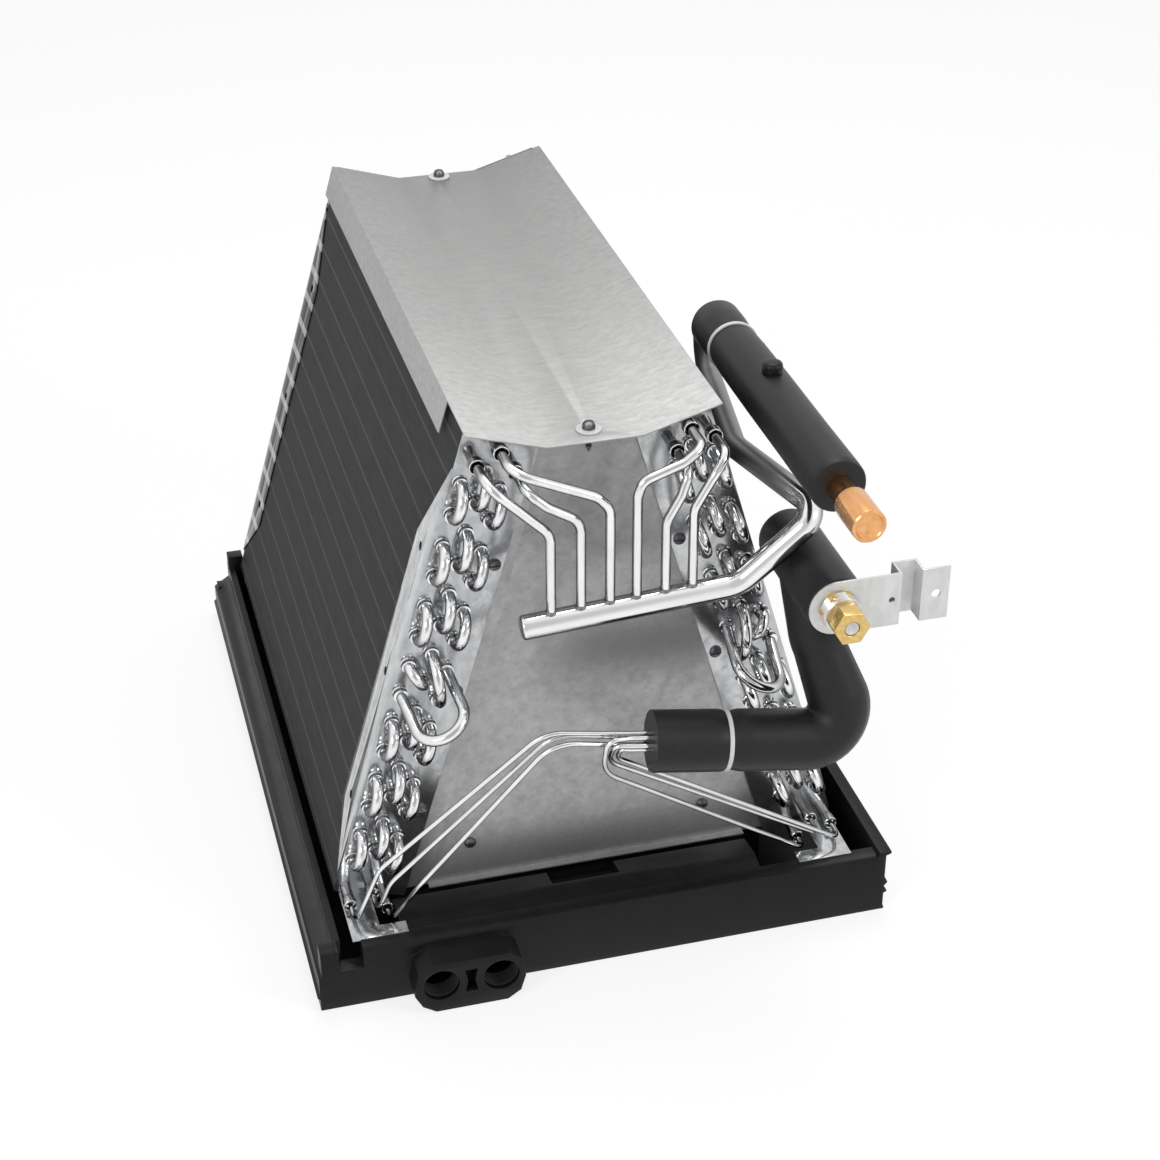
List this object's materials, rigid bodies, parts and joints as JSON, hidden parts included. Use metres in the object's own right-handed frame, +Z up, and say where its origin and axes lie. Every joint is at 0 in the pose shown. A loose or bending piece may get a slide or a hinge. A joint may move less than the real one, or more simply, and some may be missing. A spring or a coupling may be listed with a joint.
{
  "type": "a-coil evaporator",
  "caption": "Indoor evaporator coil for a duct: slanted fin-and-tube slabs under a folded cover in a drain pan, with suction header, insulated lines and distributor tubes.",
  "frame": {"origin": "on the drain pan's flat underside, mid-width, below the front of its front trough", "axes": "+X to the right seen from the connection side, +Y to the back along the tubes, +Z up"},
  "size_m": [0.404, 0.6213, 0.4025],
  "materials": {
    "pan_plastic": "moulded satin",
    "fin_aluminium": "pressed fins",
    "galvanised_sheet": "galvanised, fine spangle",
    "tube_aluminium": "drawn tube",
    "copper_tube": "drawn copper",
    "fitting_brass": "turned brass",
    "foam": "closed-cell foam",
    "white_plastic": "smooth",
    "black_plastic": "ribbed",
    "screw_steel": "dark screws"
  },
  "bodies": {
    "root": {"cable_tie_liquid": "white_plastic", "cable_tie_suction": "white_plastic", "cover_screws": "screw_steel", "cover_washers": "galvanised_sheet", "crossover_bends_left": "tube_aluminium", "crossover_bends_right": "tube_aluminium", "delta_plate_back": "galvanised_sheet", "delta_plate_front": "galvanised_sheet", "delta_screws": "screw_steel", "distributor_tube_1": "tube_aluminium", "distributor_tube_2": "tube_aluminium", "distributor_tube_3": "tube_aluminium", "distributor_tube_4": "tube_aluminium", "distributor_tube_5": "tube_aluminium", "distributor_tube_6": "tube_aluminium", "drain_pan": "pan_plastic", "feeder_tube_1": "tube_aluminium", "feeder_tube_2": "tube_aluminium", "feeder_tube_3": "tube_aluminium", "feeder_tube_4": "tube_aluminium", "feeder_tube_5": "tube_aluminium", "feeder_tube_6": "tube_aluminium", "fin_block_left": "fin_aluminium", "fin_block_right": "fin_aluminium", "flare_nut": "fitting_brass", "foam_sleeve_liquid": "foam", "foam_sleeve_suction": "foam", "hairpin_bends_left": "tube_aluminium", "hairpin_bends_right": "tube_aluminium", "inlet_bracket": "galvanised_sheet", "inlet_tube_ends_left": "tube_aluminium", "inlet_tube_ends_right": "tube_aluminium", "liquid_fitting": "fitting_brass", "outlet_tube_ends_left": "tube_aluminium", "outlet_tube_ends_right": "tube_aluminium", "return_bends_left_row_1": "tube_aluminium", "return_bends_left_row_2": "tube_aluminium", "return_bends_left_row_3": "tube_aluminium", "return_bends_right_row_1": "tube_aluminium", "return_bends_right_row_2": "tube_aluminium", "return_bends_right_row_3": "tube_aluminium", "sealing_plug": "white_plastic", "service_port_cap": "black_plastic", "sheet_screws": "screw_steel", "suction_header": "tube_aluminium", "suction_stub": "copper_tube", "top_cover": "galvanised_sheet", "tube_sheet_back_left": "galvanised_sheet", "tube_sheet_back_right": "galvanised_sheet", "tube_sheet_front_left": "galvanised_sheet", "tube_sheet_front_right": "galvanised_sheet"}
  },
  "joints": []
}
